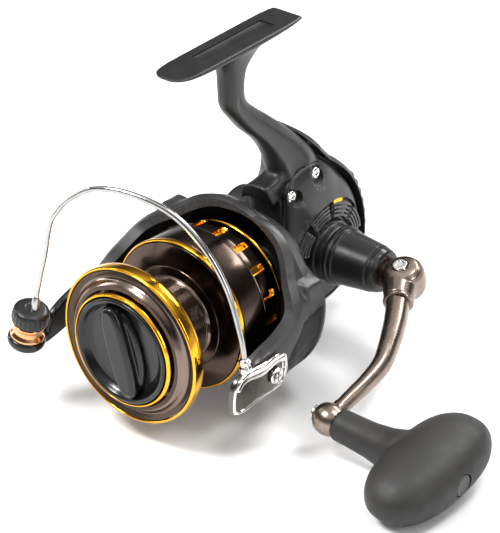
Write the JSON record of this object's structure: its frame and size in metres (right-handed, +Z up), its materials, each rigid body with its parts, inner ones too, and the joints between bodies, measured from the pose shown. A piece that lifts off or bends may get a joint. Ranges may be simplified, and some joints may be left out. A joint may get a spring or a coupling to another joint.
{
  "type": "spinning reel",
  "caption": "Fixed-spool fishing reel with a rod foot and stem, folding bail over a slotted spool, geared crank handle and T-shaped grip.",
  "frame": {"origin": "middle of the flat top of the foot, where it meets the rod", "axes": "+Z up out of the foot into the rod, +Y towards the back of the reel, so the spool faces -Y, and +X towards the handle side"},
  "size_m": [0.1695, 0.1419, 0.1353],
  "materials": {
    "black_body": "satin black paint",
    "black_gloss": "gloss",
    "rotor_grey": "satin charcoal",
    "gold": "gold anodised",
    "gunmetal": "dark bronze anodised",
    "bronze": "champagne anodised",
    "knob_rubber": "fine matt",
    "chrome": "polished",
    "copper": "polished",
    "steel": "ground",
    "brass": "machined",
    "alloy": "machined",
    "felt": "felt",
    "plate_grey": "dark brushed"
  },
  "bodies": {
    "frame": {"body_housing": "black_body", "side_cover": "black_body", "rear_bumper": "black_gloss", "gear_cap": "black_gloss", "left_cap": "black_gloss", "cover_screw_front": "chrome", "cover_screw_top": "chrome", "cover_screw_low": "chrome", "drive_bearing_left": "steel", "drive_bearing_right": "steel", "one_way_clutch": "alloy", "pinion_bearing_front": "steel", "pinion_bearing_rear": "steel", "slider_guide_rod": "steel"},
    "crank": {"drive_gear": "brass", "handle_cone": "black_gloss", "handle_arm": "bronze", "fold_pin": "chrome", "knob_axle": "steel"},
    "grip": {"handle_knob": "knob_rubber", "knob_bearing_inner": "steel", "knob_bearing_outer": "steel", "knob_cap": "knob_rubber"},
    "head": {"rotor": "rotor_grey", "pinion_gear": "brass", "rotor_nut": "brass"},
    "cam_wheel": {"oscillation_gear": "brass"},
    "bail": {"bail_arm": "black_gloss", "bail_wire": "chrome", "bail_holder": "plate_grey", "bail_screw_left": "chrome", "bail_screw_right": "chrome", "roller_screw": "chrome", "roller_cap": "black_gloss", "roller_bush": "brass"},
    "roller": {"line_roller": "copper"},
    "carriage": {"main_shaft": "steel", "oscillation_slider": "alloy"},
    "bobbin": {"spool": "gunmetal", "lip_ring": "gold", "skirt_ring_front": "gold", "skirt_ring_rear": "gold", "spool_bush": "brass", "click_ratchet": "alloy", "drag_felt_inner": "felt", "drag_felt_middle": "felt", "drag_felt_outer": "felt", "drag_disc_inner": "steel", "drag_disc_outer": "steel", "drag_clip": "steel"},
    "drag_dial": {"drag_knob": "black_gloss", "knob_ring": "gold", "drag_spring": "steel"}
  },
  "joints": [
    {"name": "handle_crank", "type": "hinge", "parent": "frame", "child": "crank", "pos_m": [0, 0.046, -0.0999], "axis": [1, 0, 0], "continuous": true},
    {"name": "knob_spin", "type": "hinge", "parent": "crank", "child": "grip", "pos_m": [0.06, -0.02041, -0.12046], "axis": [0.9976, 0, -0.0698], "continuous": true},
    {"name": "rotor_spin", "type": "hinge", "parent": "frame", "child": "head", "pos_m": [0, 0, -0.0953], "axis": [0, 1, 0], "continuous": true},
    {"name": "oscillation_gear_spin", "type": "hinge", "parent": "frame", "child": "cam_wheel", "pos_m": [0, 0.046, -0.088], "axis": [1, 0, 0], "continuous": true},
    {"name": "bail_pivot", "type": "hinge", "parent": "head", "child": "bail", "pos_m": [-0.00049, -0.028, -0.10228], "axis": [0.9976, 0, -0.0698], "range_deg": [0, 100]},
    {"name": "roller_spin", "type": "hinge", "parent": "bail", "child": "roller", "pos_m": [-0.04342, -0.062, -0.10152], "axis": [0.2454, 0, 0.9694], "continuous": true},
    {"name": "spool_oscillation", "type": "slide", "parent": "frame", "child": "carriage", "axis": [0, 1, 0], "range_m": [-0.008, 0.005]},
    {"name": "spool_drag", "type": "hinge", "parent": "carriage", "child": "bobbin", "pos_m": [0, 0, -0.0953], "axis": [0, 1, 0], "continuous": true},
    {"name": "drag_dial_turn", "type": "hinge", "parent": "carriage", "child": "drag_dial", "pos_m": [0, 0, -0.0953], "axis": [0, 1, 0], "range_deg": [-720, 90]}
  ],
  "couplings": [
    {"joint": "rotor_spin", "follows": "handle_crank", "ratio": -5.125}
  ]
}
